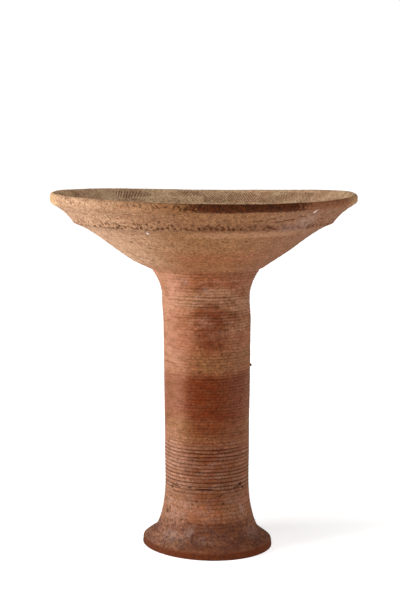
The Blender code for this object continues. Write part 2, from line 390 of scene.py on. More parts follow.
# %% Zigzag cuts on the lip
lip_face = run_at("lip", 0.55)
ZIGZAG_LENGTH, ZIGZAG_WIDTH, ZIGZAG_DEPTH = 8.5 * MM, 1.2 * MM, 1.6 * MM
front_cuts = [
    # angle from the front, lean, share of the full length
    (-35, 60, 0.2), (-31, -62, 0.2), (-26.4, -48, 0.6), (-23.8, -4, 0.55), (-21.8, 70, 0.5),
    (-17.2, -47, 1.0), (-15.8, -50, 0.9), (-12.6, 52, 0.6), (-9.8, 64, 0.9), (-8.2, -50, 1.0),
    (-5.5, 50, 0.7), (-3.5, -52, 0.8), (0.5, 60, 0.7), (5.4, 70, 1.0), (9.5, -60, 0.7),
    (17, 60, 0.6), (26, 88, 0.9), (33, -55, 0.6), (39, 80, 0.8),
]
for offset, lean, share in front_cuts:
    marks.append((FRONT + offset, lip_face, ZIGZAG_LENGTH * share, ZIGZAG_WIDTH,
                  ZIGZAG_DEPTH, lean))
# The rest of the lip gets plainer ones, nine degrees apart.
zigzag_draw = np.random.default_rng(32)
for number in range(26):
    turn = 8 + number * 9 + zigzag_draw.uniform(-2, 2)
    lean = 58 * (-1) ** number + zigzag_draw.uniform(-8, 8)
    marks.append((turn, lip_face, ZIGZAG_LENGTH, ZIGZAG_WIDTH, 0.7 * ZIGZAG_DEPTH, lean))
print(len(front_cuts), "zigzag cuts in front")

# %% Tears and drag marks on the pedestal
tears = [
    # angle from the front, height, half length, half width and depth in mm, lean
    (-47, 122, 12, 0.9, 2.6, -4), (-56, 118, 3, 2.2, 3.0, 30), (-3, 120, 16, 1.2, 3.4, 0),
    (-24, 123, 4, 1.1, 2.4, 8), (17.5, 108, 7.5, 0.9, 2.4, 12), (22, 93, 1.8, 1.7, 3.2, 0),
    (52, 124, 3.2, 3.0, 3.8, 40), (58, 117, 3.0, 2.2, 3.4, 20), (44, 121, 9, 1.2, 2.4, 8),
    (-9, 187, 1.5, 1.5, 2.2, 0), (7, 186.5, 10, 1.2, 1.6, 0), (-34, 229, 1.7, 1.7, 1.8, 0),
    (-64, 71, 4.5, 3.5, 2.0, 25), (-58, 78, 3.0, 2.2, 1.6, -30), (39, 464, 4.0, 1.1, 1.8, 42),
    (32, 471, 1.5, 1.5, 1.8, 0), (31, 366, 1.2, 3.2, 1.4, 0), (-25, 343, 1.5, 1.5, 2.0, 0),
    (-8, 338, 7.5, 0.9, 1.4, 24), (-6, 332, 3.0, 1.0, 1.3, 10), (37, 422, 1.3, 1.3, 1.6, 0),
    (46, 429, 8.0, 0.9, 1.2, -4), (32, 308, 1.6, 1.6, 1.6, 0), (-18, 366, 1.4, 1.4, 1.2, 0),
    (60, 350, 3.0, 1.0, 1.2, 10), (-40, 396, 3.5, 0.9, 1.0, 0), (-14, 98, 2.6, 2.0, 1.5, 50),
    (-20, 92, 3.5, 1.5, 1.4, -35), (-2, 104, 3.0, 1.6, 1.4, 70), (2, 84, 3.0, 1.2, 1.2, 0),
    (12, 64, 4.0, 1.2, 1.2, -10),
]
for offset, middle, half_length, half_width, depth, lean in tears:
    place = run_at_height(middle * MM)
    marks.append((FRONT + offset, place, half_length * MM, half_width * MM, depth * MM, lean))
print(len(tears), "tears")

# %% Scratches on the moulding
SCRATCH_WIDTH, SCRATCH_DEPTH, SCRATCH_LEAN = 1.1 * MM, 2.0 * MM, 5
scratches = [
    # angle from the front, share of the way down the moulding, half length in mm
    (21, 0.62, 12), (27, 0.50, 9), (31, 0.66, 16), (36, 0.58, 11), (41, 0.45, 8),
    (-20, 0.15, 7), (-9, 0.22, 9), (160, 0.5, 14),
]
for offset, share, half_length in scratches:
    marks.append((FRONT + offset, run_at("moulding", share), half_length * MM, SCRATCH_WIDTH,
                  SCRATCH_DEPTH, SCRATCH_LEAN))
print(len(scratches), "scratches")

# %% Pits
# Most pits are small, and the shoulder has a crowd of larger ones just above its edge.
pit_draw = np.random.default_rng(33)
SHOULDER_PITS = 560
PITS = {"scored band": 160, "lip": 500, "moulding": 1900, "underside": 2100, "stem": 900,
        "foot": 500}
for name, count in PITS.items():
    for _ in range(count):
        size = (0.7 + 1.3 * pit_draw.random() ** 3) * MM
        half_length = size * pit_draw.uniform(1.0, 1.9)
        depth = size * pit_draw.uniform(0.45, 0.8)
        place = run_at(name, pit_draw.random())
        marks.append((pit_draw.uniform(0, 360), place, half_length, size, depth,
                      pit_draw.uniform(-35, 35)))
for _ in range(SHOULDER_PITS):
    size = pit_draw.uniform(1.0, 2.0) * MM
    place = shoulder_run + (2 - 18 * pit_draw.random() ** 1.3) * MM
    marks.append((pit_draw.uniform(0, 360), place, size * pit_draw.uniform(1.0, 1.8), size,
                  0.95 * size, pit_draw.uniform(-80, 80)))
print(len(marks), "marks and pits")

# %% One carver for all marks
mark_table = np.array(marks)
mark_table[:, 0] = np.radians(mark_table[:, 0])
mark_table[:, 5] = np.radians(mark_table[:, 5])
mark_reach = 2 * np.maximum(mark_table[:, 2], mark_table[:, 3])


def carved_marks(angle, run, radius):
    """Depth cut by every mark near one ring, at each angle."""
    cut = np.zeros_like(angle)
    spacing = 2 * math.pi / len(angle)
    for index in np.flatnonzero(np.abs(mark_table[:, 1] - run) < mark_reach):
        turn, place, half_length, half_width, depth, lean = mark_table[index]
        span = mark_reach[index] / radius
        columns = np.arange(math.ceil((turn - span) / spacing), (turn + span) / spacing, dtype=int)
        across = (columns * spacing - turn) * radius
        down = run - place
        along = (across * math.cos(lean) - down * math.sin(lean)) / half_length
        aside = (across * math.sin(lean) + down * math.cos(lean)) / half_width
        dent = depth * np.exp(-along ** 4 - aside ** 2)
        columns %= len(angle)
        cut[columns] = np.maximum(cut[columns], dent)
    return cut


# %% [markdown]
# ## Carving the rings
# Every point moves along its own normal, and only inwards, because the solid's outline is the
# outermost line of the pot. The one thing that stands out is a crumb of burnt clay on the stem.
# How deep a point was cut is kept as well: the material darkens the cuts with painted shade,
# and the deepest ones to black. The crumb counts as a deep cut, because it is as dark. The
# resting ring stays flat, so that the pot stands.

# %% Carve one ring
WORN_BACK = 0.75 * MM
WANDER, SWELLING, COARSE_GRAIN, FINE_GRAIN = 0.35, 0.30, 0.26, 0.12  # in millimetres
# Ripples that the fingers left: height, and distance along the wall for one radian of the wave.
FINE_RIPPLE, FINE_RIPPLE_LENGTH = 0.22 * MM, 2.1 * MM
PLAIN_RIPPLE, PLAIN_RIPPLE_LENGTH = 0.8 * MM, 3.1 * MM
LIP_WEAR = 0.35 * MM
UNCUT_ABOVE_TABLE = 6 * MM
CRUMB_HEIGHT, CRUMB_ANGLE, CRUMB_SIZE = 338 * MM, math.radians(-2), 2.6 * MM
CRUMB_RAISED, CRUMB_DARKNESS = 3.0 * MM, 4.5 * MM


def stuck_crumb(angle, height):
    """The bulge of one crumb of burnt clay that stuck to the right of the stem."""
    across = (angle - CRUMB_ANGLE + math.pi) % (2 * math.pi) - math.pi
    far = np.hypot(across * STEM_RADIUS, height - CRUMB_HEIGHT) / CRUMB_SIZE
    return np.exp(-far ** 4)


def carve(index):
    """Relief along the normal and depth of cut for one ring."""
    angle = np.arange(ring_count[index]) * 2 * math.pi / ring_count[index]
    run, name = ring_run[index], ring_name[index]
    radius, height = ring_place[index]
    relief = (WANDER * wander(angle, run) + SWELLING * swelling(angle, run)) * MM - WORN_BACK
    relief += (COARSE_GRAIN * coarse_grain(angle, run) + FINE_GRAIN * fine_grain(angle, run)) * MM
    cut = np.zeros_like(angle)
    if name in PITS:
        cut = carved_marks(angle, run, radius)
    if name == "scored band":
        cut = np.maximum(cut, scored_strokes(angle, -run))
    if name in ("stem", "foot"):
        cut = np.maximum(cut, wheel_grooves(angle, run, height))
    if name in ("moulding", "underside"):
        ripple = FINE_RIPPLE * math.sin(run / FINE_RIPPLE_LENGTH)
        relief += ripple * (0.6 + 0.6 * fading(angle, run))
    if name in ("bowl inside", "hollow"):
        ripple = PLAIN_RIPPLE * math.sin(run / PLAIN_RIPPLE_LENGTH)
        relief += ripple * (0.6 + 0.5 * fading(angle, run))
    if name == "lip":
        relief -= LIP_WEAR * (1 + swelling(angle, run))
    above_table = ease(height, 0.0, UNCUT_ABOVE_TABLE)
    relief = (np.minimum(relief, 0.0) - cut) * above_table
    if name == "stem":
        crumb = stuck_crumb(angle, height)
        relief += CRUMB_RAISED * crumb
        cut = np.maximum(cut, CRUMB_DARKNESS * crumb)
    return angle, relief, cut * above_table


# %% [markdown]
# ## The pot's own lean and sag
# The wet bowl settled on the pedestal: its middle lies a few millimetres beside the stem's, the
# lip is high on the left and right and low in front, and the foot is a little oval. These are
# the solid's own numbers, so the fine mesh lies on it everywhere.

# %% Let the true turned shape settle
LIP_WAVES = [
    # crests round the pot, direction of one crest in degrees, height of the wave in metres
    (2, 7, 3.6 * MM), (3, 15, 1.0 * MM), (1, 168, 2.0 * MM),
]
FOOT_OVAL, OVAL_TOWARDS = 0.052, -42  # share of the radius, and a direction in degrees
FOOT_ASIDE, STEM_BEND, BOWL_BACK = 6.3 * MM, 2.3 * MM, 4.0 * MM
BEND_LENGTH, BACK_LENGTH = 50 * MM, 17 * MM


def lobes(angle, count, towards):
    """A wave with a number of crests round the axis, one of them in a given direction."""
    return np.cos(count * (angle - math.radians(towards)))


def settle(angle, radius, height):
    """Where points of the true turned shape lie on the hand-made, uneven pot."""
    lift = sum(wave * lobes(angle, count, towards) for count, towards, wave in LIP_WAVES)
    lift = lift * ease(height, LIP_BOTTOM[1], RIM_HEIGHT)
    swell = FOOT_OVAL * lobes(angle, 2, OVAL_TOWARDS) * (1 - ease(height, 0.0, WAIST_HEIGHT / 2))
    aside = FOOT_ASIDE - STEM_BEND * ease(height, STEM_TOP - BEND_LENGTH, STEM_TOP)
    aside = aside - BOWL_BACK * ease(height, PEDESTAL_HEIGHT, PEDESTAL_HEIGHT + BACK_LENGTH)
    radius = radius * (1 + swell)
    return radius * np.cos(angle) + aside, radius * np.sin(angle), height + lift


# %% Points of the mesh
ring_start, places, cuts = [], [], []
for index, (ring_radius, ring_height) in enumerate(ring_place):
    ring_start.append(sum(ring_count[:index]))
    angle, relief, cut = carve(index)
    carved_radius = np.maximum(ring_radius + relief * ring_normal[index, 0], 0.0)
    carved_height = ring_height + relief * ring_normal[index, 1]
    places.append(np.stack(settle(angle, carved_radius, carved_height), axis=1))
    cuts.append(cut)
places, cuts = np.concatenate(places), np.concatenate(cuts)
print("greatest depth of cut", round(float(cuts.max()) / MM, 1), "mm, which stands for the crumb")

# %% [markdown]
# ## From rings to a mesh
# Two rings with the same number of points are joined by four-sided faces. Where a fine ring meets
# a coarse one, each gap of the coarse ring takes all the fine points beside it into one face.

# %% Faces of the mesh
faces = []
for index in range(len(ring_place) - 1):
    here, there = ring_start[index], ring_start[index + 1]
    count, next_count = ring_count[index], ring_count[index + 1]
    gaps = max(count, next_count) if 1 in (count, next_count) else min(count, next_count)
    for gap in range(gaps):
        upper = range(gap * count // gaps, (gap + 1) * count // gaps + 1) if count > 1 else [0]
        lower = range(gap * next_count // gaps, (gap + 1) * next_count // gaps + 1)
        lower = lower if next_count > 1 else [0]
        face = [there + point % next_count for point in lower]
        faces.append(face + [here + point % count for point in reversed(upper)])
triangles = sum(len(face) - 2 for face in faces)
print(triangles, "triangles before thinning")

# %% [markdown]
# ## Thinning the mesh
# So fine a mesh is heavy, and most of it is smooth clay. Blender's Decimate modifier joins points
# where little changes and keeps them where the surface is carved. The depth of cut is stored on
# the points first, and the modifier carries it along.

# %% Build the mesh and thin it
TRIANGLES_WANTED = 190000
thick_mesh = bpy.data.meshes.new("thick")
thick_mesh.from_pydata(places.tolist(), [], faces)
cut_layer = thick_mesh.attributes.new("depth_of_cut", "FLOAT", "POINT")
cut_layer.data.foreach_set("value", (cuts / MM).astype(np.float32))
vessel = bpy.data.objects.new("turned_clay_vessel", thick_mesh)
bpy.context.scene.collection.objects.link(vessel)
thinning = vessel.modifiers.new("thinning", "DECIMATE")
thinning.ratio = TRIANGLES_WANTED / triangles
thinned = vessel.evaluated_get(bpy.context.evaluated_depsgraph_get())
vessel.data = bpy.data.meshes.new_from_object(thinned)
vessel.data.name = "turned_clay_vessel"
vessel.modifiers.clear()
bpy.data.meshes.remove(thick_mesh)
vessel.data.shade_smooth()
thin_count = sum(polygon.loop_total - 2 for polygon in vessel.data.polygons)
print("thinned to", thin_count, "triangles")

# %% Give the piece its place in the frame
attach(vessel, "root")
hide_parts(SOLID)
print(vessel.name, "takes the place of", SOLID)

# %% [markdown]
# ## Masks painted on the clay
# The colour of unglazed earthenware follows the fire: salmon where air reached it, dark red and
# brown where the flame was starved, black where soot settled. Three places are easier to paint on
# the points than to find with nodes: the inside of the bowl, the black stain on the lip, and the
# whitish lime film that ground water left.

# %% Paint the bowl's inside and the stain on the points
def read_points(mesh, name):
    """The places or normals of a mesh's points as rows of three numbers."""
    values = np.empty(len(mesh.vertices) * 3)
    mesh.vertices.foreach_get(name, values)
    return values.reshape(-1, 3)


def paint_mask(name, values):
    """Stores one number for each point under a name that the material can read."""
    layer = vessel.data.attributes.new(name, "FLOAT", "POINT")
    layer.data.foreach_set("value", values.astype(np.float32))


points = read_points(vessel.data, "co")
normals = read_points(vessel.data, "normal")
from_axis = np.hypot(points[:, 0], points[:, 1])
# The inside of the bowl is the clay that faces the pot's axis, from the bowl's floor upwards.
facing_axis = -(points[:, :2] * normals[:, :2]).sum(axis=1) / np.maximum(from_axis, MM)
in_bowl = ease(facing_axis, -0.25, 0.05) * (points[:, 2] > FLOOR - 5 * MM)
paint_mask("in_bowl", in_bowl)

STAIN_LEFT, STAIN_RIGHT = (-80 * MM, 30 * MM), (136 * MM, 198 * MM)
STAIN_BOTTOM = (LIP_BOTTOM[1] - 6 * MM, LIP_BOTTOM[1] - 2 * MM)
STAIN_INNER = (RIM_RADIUS - 13 * MM, RIM_RADIUS - 6 * MM)
stain = ease(points[:, 0], *STAIN_LEFT) * (1 - ease(points[:, 0], *STAIN_RIGHT))
stain *= ease(points[:, 2], *STAIN_BOTTOM)
stain *= ease(from_axis, *STAIN_INNER) * (points[:, 1] < 0)
paint_mask("lip_stain", stain)
print(int((stain > 0.5).sum()), "points in the stain,", int((in_bowl > 0.5).sum()), "in the bowl")

# %% Dabs of the lime film that the ground water left
point_angle = np.arctan2(points[:, 1], points[:, 0])
film = np.zeros(len(points))
BEHIND = 9.0  # metres, added on the far side so that a dab stays on its own side
dabs = [
    # angle from the front, height, half width and half height in mm, lean, strength
    (-20, 38, 9, 26, -42, 0.68), (-42, 30, 26, 12, 0, 0.7), (2, 30, 22, 9, 0, 0.5),
    (62, 34, 26, 14, 0, 0.55), (45, 614, 30, 17, 10, 0.7), (38, 606, 24, 8, 0, 0.5),
    (45.0, 632, 4.0, 8, 0, 1.0), (-25.3, 596, 5.5, 5.0, 0, 1.0), (-23, 502, 10, 8, 0, 0.6),
    (4, 486, 9, 7, 0, 0.6), (-8, 470, 5, 12, 0, 0.4), (56, 80, 10, 16, 0, 0.6),
    (-70, 600, 14, 8, 0, 0.4), (120, 590, 24, 12, 12, 0.6), (200, 60, 14, 22, -20, 0.7),
    (165, 330, 8, 26, 5, 0.5),
]
for offset, middle, half_width, half_height, lean, strength in dabs:
    turn = point_angle - math.radians(FRONT + offset)
    across = np.sin(turn) * from_axis + BEHIND * (np.cos(turn) < 0)
    up, tilt = points[:, 2] - middle * MM, math.radians(lean)
    along = (across * math.cos(tilt) + up * math.sin(tilt)) / (half_width * MM)
    aside = (up * math.cos(tilt) - across * math.sin(tilt)) / (half_height * MM)
    film = np.maximum(film, strength * (1 - ease(np.hypot(along, aside), 0.3, 1.2)))
print(len(dabs), "dabs of lime film")
paint_mask("lime_film", film * (1 - in_bowl))

# %% [markdown]
# ## Coarse earthenware
# Low-fired coarse clay is full of open, dusty pores. It is rough and has hardly any gloss:
# roughness about 0.9, an index of refraction about 1.5, and no metal. Colours are written as sRGB
# hex values, and one function turns them to the linear numbers that the shader works in. One
# other function adds a node.

# %% Colours and nodes
def linear(code):
    """A linear colour from an sRGB hex value."""
    parts = [int(code[digit:digit + 2], 16) / 255 for digit in (1, 3, 5)]
    straight = [part / 12.92 if part <= 0.04045 else ((part + 0.055) / 1.055) ** 2.4
                for part in parts]
    return (*straight, 1.0)


def add_node(tree, kind, settings=None, inputs=None, output=0):
    """Adds a node with its settings and links, and returns one of its outputs."""
    node = tree.nodes.new("ShaderNode" + kind)
    for name, value in (settings or {}).items():
        setattr(node, name, value)
    for socket, value in (inputs or {}).items():
        if isinstance(value, bpy.types.NodeSocket):
            tree.links.new(value, node.inputs[socket])
        else:
            node.inputs[socket].default_value = value
    return node.outputs[output] if node.outputs else node


# %% Names for the colours of the clay
TAN = linear("#B08D70")
CREAM = linear("#C0A074")
OCHRE = linear("#835A35")
SALMON = linear("#AE7D64")
BRICK = linear("#935738")
RED_BROWN = linear("#622406")
DARK_BROWN = linear("#562B16")
UMBER = linear("#6F452B")
OLIVE = linear("#7D5632")
GREY_UMBER = linear("#7C5B49")
BUFF = linear("#A97F61")
SOOT = linear("#3D1B02")
BLACK = linear("#170A05")
BOWL_OLIVE = linear("#B79B79")
LIME = linear("#D8CFC4")
LILAC = linear("#957D72")
FOOT_ORANGE = linear("#56240B")
PLUM = linear("#4A2B28")
# painted shade for the cuts, grooves and pits
CUT_SHADE = linear("#3C1A07")

# %% Where a point lies, as the material sees it
clay = bpy.data.materials.new("low_fired_coarse_earthenware")
clay.use_nodes = True
tree = clay.node_tree
tree.nodes.clear()
position = add_node(tree, "TexCoord", output="Object")
height = add_node(tree, "SeparateXYZ", inputs={0: position}, output="Z")
flattened = add_node(tree, "VectorMath", {"operation": "MULTIPLY"}, {0: position, 1: (1, 1, 0)})
outwards = add_node(tree, "VectorMath", {"operation": "NORMALIZE"}, {0: flattened})
# -1 on the left of the pot, 0 at its front and back, 1 on the right
side = add_node(tree, "SeparateXYZ", inputs={0: outwards}, output="X")
# The depth of cut is in millimetres. The painted masks go from 0 to 1.
cut_depth = add_node(tree, "Attribute", {"attribute_name": "depth_of_cut"}, output="Fac")
in_bowl_mask = add_node(tree, "Attribute", {"attribute_name": "in_bowl"}, output="Fac")
stain_mask = add_node(tree, "Attribute", {"attribute_name": "lip_stain"}, output="Fac")
film_mask = add_node(tree, "Attribute", {"attribute_name": "lime_film"}, output="Fac")

# %% [markdown]
# ### Zones and clouds
# Two kinds of mask place every colour. A zone is a part of the pot between two values, such as two
# heights, and fades at both ends. A cloud is a patch of a real size at a random place, and
# lies flat when the wheel drew it out sideways. Either can be kept within another mask.

# %% Two kinds of mask
def zone(value, low, high, soft, within=1.0):
    """A mask of the part between two values, fading over a distance at both ends."""
    rise = add_node(tree, "MapRange", {"interpolation_type": "SMOOTHSTEP"},
                    {0: value, 1: low - soft / 2, 2: low + soft / 2, 3: 0.0, 4: within})
    return add_node(tree, "MapRange", {"interpolation_type": "SMOOTHSTEP"},
                    {0: value, 1: high - soft / 2, 2: high + soft / 2, 3: rise, 4: 0.0})


def cloud(size, seed, low, high, flat=1.0, within=1.0):
    """A mask of random patches of a size in metres; flat ones are drawn out sideways."""
    moved = add_node(tree, "Mapping", inputs={
        "Vector": position, "Location": (seed, -seed, 0.7 * seed), "Scale": (1, 1, flat)})
    noise = add_node(tree, "TexNoise", inputs={
        "Vector": moved, "Scale": 1 / size, "Detail": 3.0, "Roughness": 0.6})
    return add_node(tree, "MapRange", {"interpolation_type": "SMOOTHSTEP"},
                    {0: noise, 1: low, 2: high, 3: 0.0, 4: within})


# %% The sides of the pot
OPEN_END = 99.0  # further than any value on the pot
STEM_END = 520 * MM
on_stem = zone(height, -OPEN_END, STEM_END, 40 * MM)
on_bowl = zone(height, STEM_END, OPEN_END, 50 * MM)
on_lip = zone(height, LIP_BOTTOM[1] - 2 * MM, OPEN_END, 8 * MM)
left_of_stem = zone(side, -OPEN_END, -0.42, 0.70, within=on_stem)
left_of_bowl = zone(side, -OPEN_END, -0.50, 0.90, within=on_bowl)
front_of_moulding = zone(side, -0.10, 0.75, 0.40)
# A strip that runs up the front, a little to the right of its middle, is painted darker: partly
# the clay's own fire colour, partly painted shade where the lamp on the left no longer reaches.
around_front_right = add_node(tree, "VectorMath", {"operation": "DOT_PRODUCT"},
                              {0: outwards, 1: (0.30, -0.95, 0.0)}, output="Value")
shade_and_fire_strip = zone(around_front_right, 0.76, OPEN_END, 0.34)
shade_and_fire_stem = zone(height, -OPEN_END, STEM_END, 40 * MM, within=shade_and_fire_strip)
red_streak = zone(side, -0.25, 0.50, 0.30, within=shade_and_fire_strip)

# %% Heights between which the bands of colour lie
MOULDING = (598 * MM, 634 * MM)
# a painted shadow in the hollow of the moulding, just above the shoulder
MOULDING_PAINTED_SHADOW = (601 * MM, 612 * MM)
SHOULDER_LIGHT_LINE = (588 * MM, 598 * MM)
MOULDING_SPECKS = (596 * MM, 636 * MM)
UNDERSIDE_SPECKS = (530 * MM, 592 * MM)
BOWL_BLUSH = (535 * MM, 560 * MM)
NECK_BAND = (490 * MM, 518 * MM)
PALE_BAND = (456 * MM, 484 * MM)
UPPER_RED_BAND = (382 * MM, 452 * MM)
LEFT_BRICK_BAND = (380 * MM, 450 * MM)
UPPER_OLIVE_BAND = (332 * MM, 370 * MM)
RED_BAND = (252 * MM, 328 * MM)
RED_BAND_FADING = (222 * MM, 328 * MM)
LOWER_OLIVE_BAND = (208 * MM, 250 * MM)
RIBBED_BAND = (86 * MM, 206 * MM)
FLANGE = (12 * MM, 60 * MM)
# No band is quite level: its edges drift up and down by as much as 14 mm round the pot.
drift_noise = add_node(tree, "TexNoise", inputs={
    "Vector": position, "Scale": 1 / (80 * MM), "Detail": 2.0})
drift = add_node(tree, "MapRange", inputs={
    0: drift_noise, 1: 0.3, 2: 0.7, 3: -14 * MM, 4: 14 * MM})
fire_height = add_node(tree, "Math", {"operation": "ADD"}, {0: height, 1: drift})

# %% Fainter painted shade in the cuts, the stain's ragged edge and the broken film
# The painted shade in the cuts is a little fainter inside the bowl, and much fainter where the
# stem's clay is smooth.
less_in_bowl = add_node(tree, "MapRange", inputs={
    0: in_bowl_mask, 1: 0.0, 2: 1.0, 3: 1.0, 4: 0.84})
smooth_clay = zone(height, 225 * MM, STEM_END, 50 * MM, within=left_of_stem)
less_on_smooth = add_node(tree, "MapRange", inputs={
    0: smooth_clay, 1: 0.0, 2: 1.0, 3: 1.0, 4: 0.40})
cut_shade_left = add_node(tree, "Math", {"operation": "MULTIPLY"}, {0: less_in_bowl, 1: less_on_smooth})
stain_edge = add_node(tree, "Math", {"operation": "ADD"}, {
    0: stain_mask, 1: cloud(5 * MM, 9, 0.30, 0.70, within=0.6)})
ragged_stain = zone(stain_edge, 0.75, OPEN_END, 0.70)
film_spots = cloud(6 * MM, 10, 0.35, 0.60)
ragged_film = add_node(tree, "Math", {"operation": "MULTIPLY"}, {0: film_mask, 1: film_spots})

# %% [markdown]
# ### Coats of colour
# Clay, fire, dirt, soot and ground water coloured the pot one after another. A long chain of Mix
# nodes does the same: each coat covers what is below it, as far as its mask and strength say. A
# list is the plainest way to write such a chain, and one loop turns it into nodes.

# %% Coats of colour, one over another
coats = [
    # mask, colour over what is below it, strength
    # the left painted lighter and the right darker: partly the clay's own colour, partly painted
    # light from the lamp on the left and painted shade away from it
    (left_of_bowl, TAN, 0.95),
    (cloud(110 * MM, 1, 0.42, 0.62), TAN, 0.15),
    (on_stem, BRICK, 0.95),
    (left_of_stem, SALMON, 0.95),
    (cloud(70 * MM, 2, 0.44, 0.60, 1.6, within=on_stem), OCHRE, 0.42),
    (zone(side, 0.50, OPEN_END, 0.50, within=on_bowl), UMBER, 0.45),
    # bands round the bowl and the stem, from above
    (zone(height, *BOWL_BLUSH, 30 * MM, within=zone(side, -0.35, 0.80, 0.60)), BRICK, 0.60),
    (zone(fire_height, *NECK_BAND, 14 * MM, within=zone(side, -0.30, OPEN_END, 0.70)),
     RED_BROWN, 0.40),
    (zone(fire_height, *PALE_BAND, 12 * MM), BUFF, 0.50),
    # within the front strip: painted darker, partly painted shade
    (zone(fire_height, *UPPER_RED_BAND, 24 * MM, within=red_streak), RED_BROWN, 0.84),
    (zone(fire_height, *LEFT_BRICK_BAND, 24 * MM, within=zone(side, -0.80, -0.10, 0.50)),
     BRICK, 0.42),
    (zone(fire_height, *UPPER_OLIVE_BAND, 22 * MM, within=zone(side, -0.30, OPEN_END, 0.90)),
     OLIVE, 0.50),
    (zone(fire_height, *RED_BAND, 20 * MM), RED_BROWN, 0.50),
    # within the front strip: painted darker, partly painted shade
    (zone(fire_height, *RED_BAND, 20 * MM, within=shade_and_fire_strip), RED_BROWN, 0.92),
    (zone(fire_height, *LOWER_OLIVE_BAND, 16 * MM), OLIVE, 0.45),
    (zone(fire_height, *LOWER_OLIVE_BAND, 16 * MM, within=shade_and_fire_strip), RED_BROWN, 0.55),
    (zone(fire_height, *RIBBED_BAND, 20 * MM, within=shade_and_fire_strip), DARK_BROWN, 0.49),
    # patches, and streaks that the wheel drew out
    (cloud(30 * MM, 13, 0.40, 0.62, 2.0, within=zone(height, -OPEN_END, 195 * MM, 60 * MM)),
     LILAC, 0.26),
    (cloud(24 * MM, 14, 0.42, 0.64, 2.0, within=zone(height, 400 * MM, 510 * MM, 60 * MM)),
     SALMON, 0.45),
    # the right side painted greyer: painted shade away from the lamp on the left, over the clay's
    # own colour
    (zone(side, 0.50, OPEN_END, 0.60), GREY_UMBER, 0.40),
    (zone(height, -OPEN_END, 200 * MM, 60 * MM, within=left_of_stem), GREY_UMBER, 0.22),
    # within the front strip: painted darker, partly painted shade
    (cloud(36 * MM, 3, 0.50, 0.62, 2.0, within=shade_and_fire_stem), RED_BROWN, 0.40),
    (cloud(26 * MM, 4, 0.48, 0.64, 3.0), UMBER, 0.40),
    (cloud(16 * MM, 5, 0.52, 0.70, 7.0), BRICK, 0.32),
    (cloud(11 * MM, 6, 0.50, 0.66, 9.0), UMBER, 0.40),
    (zone(fire_height, *RED_BAND_FADING, 30 * MM, within=shade_and_fire_strip), RED_BROWN, 0.30),
    # the foot
    (zone(height, -OPEN_END, 60 * MM, 50 * MM), UMBER, 0.38),
    # within the front strip: painted darker, partly painted shade
    (zone(height, *FLANGE, 16 * MM, within=shade_and_fire_strip), DARK_BROWN, 0.45),
    (cloud(18 * MM, 11, 0.44, 0.58, within=zone(height, 16 * MM, 52 * MM, 16 * MM)), PLUM, 0.45),
    (cloud(6 * MM, 15, 0.50, 0.60, within=zone(height, 10 * MM, 60 * MM, 16 * MM)), PLUM, 0.60),
    (zone(height, -OPEN_END, 13 * MM, 6 * MM), FOOT_ORANGE, 0.90),
    # the lip and the moulding below it
    # the lip's left and right edges painted paler, painted light where the lamps graze them, and
    # its right part painted darker, painted shade over the clay's own red-brown
    (zone(side, -OPEN_END, -0.93, 0.08, within=on_lip), CREAM, 0.60),
    (zone(side, 0.92, OPEN_END, 0.08, within=on_lip), CREAM, 0.35),
    (zone(side, 0.30, 0.93, 0.20, within=on_lip), RED_BROWN, 0.35),
    (zone(height, *SHOULDER_LIGHT_LINE, 4 * MM, within=front_of_moulding), BUFF, 0.38),
    # painted shadow in the moulding's hollow, just above the shoulder
    (zone(height, *MOULDING_PAINTED_SHADOW, 7 * MM, within=front_of_moulding), DARK_BROWN, 0.35),
    (zone(height, *MOULDING, 12 * MM, within=zone(side, -0.45, 0.90, 0.50)), LILAC, 0.09),
    # the inside of the bowl
    (in_bowl_mask, BOWL_OLIVE, 0.85),
    (cloud(70 * MM, 18, 0.45, 0.60, within=in_bowl_mask), SALMON, 0.28),
    (cloud(40 * MM, 19, 0.46, 0.60, 2.0, within=in_bowl_mask), UMBER, 0.40),
    (cloud(14 * MM, 20, 0.50, 0.64, 3.0, within=in_bowl_mask), TAN, 0.35),
    (zone(height, -OPEN_END, 548 * MM, 30 * MM, within=in_bowl_mask), UMBER, 0.45),
    # painted shade in the cuts, and specks
    (zone(cut_depth, 0.70, OPEN_END, 1.0, within=cut_shade_left), CUT_SHADE, 0.72),
    # the deepest cuts painted black: painted shade in deep holes, and the dark of the burnt crumb
    (zone(cut_depth, 2.1, OPEN_END, 1.2), BLACK, 0.80),
    (cloud(3.4 * MM, 7, 0.52, 0.64, within=less_on_smooth), DARK_BROWN, 0.36),
    (cloud(3.6 * MM, 17, 0.51, 0.60, within=zone(height, *MOULDING_SPECKS, 14 * MM)),
     DARK_BROWN, 0.50),
    (cloud(2.6 * MM, 21, 0.53, 0.61, within=zone(
        height, *UNDERSIDE_SPECKS, 12 * MM, within=zone(side, -0.35, OPEN_END, 0.60))),
     DARK_BROWN, 0.50),
    (cloud(4.5 * MM, 8, 0.52, 0.64, within=left_of_bowl), TAN, 0.35),
    # soot, and lime film
    (ragged_stain, SOOT, 0.97),
    (cloud(5 * MM, 16, 0.48, 0.60, within=ragged_stain), RED_BROWN, 0.50),
    (cloud(3 * MM, 22, 0.50, 0.58, within=ragged_stain), BLACK, 0.65),
    (ragged_film, LILAC, 0.60),
    (zone(film_mask, 0.80, OPEN_END, 0.10), LIME, 0.90),
]
colour = add_node(tree, "RGB")
colour.default_value = OCHRE
for mask, coat, strength in coats:
    strength_mask = add_node(tree, "Math", {"operation": "MULTIPLY"}, {0: mask, 1: strength})
    colour = add_node(tree, "Mix", {"data_type": "RGBA"},
                      {0: strength_mask, 6: colour, 7: coat}, output=2)
print(len(coats), "coats of colour")

# %% [markdown]
# ### Grain
# Coarse clay is speckled and feels like sandpaper. One noise makes the speckles lighter or darker
# than the coats. A finer one only tilts the surface a little and roughens it, because grains of a
# millimetre are too small to be cut into the mesh.

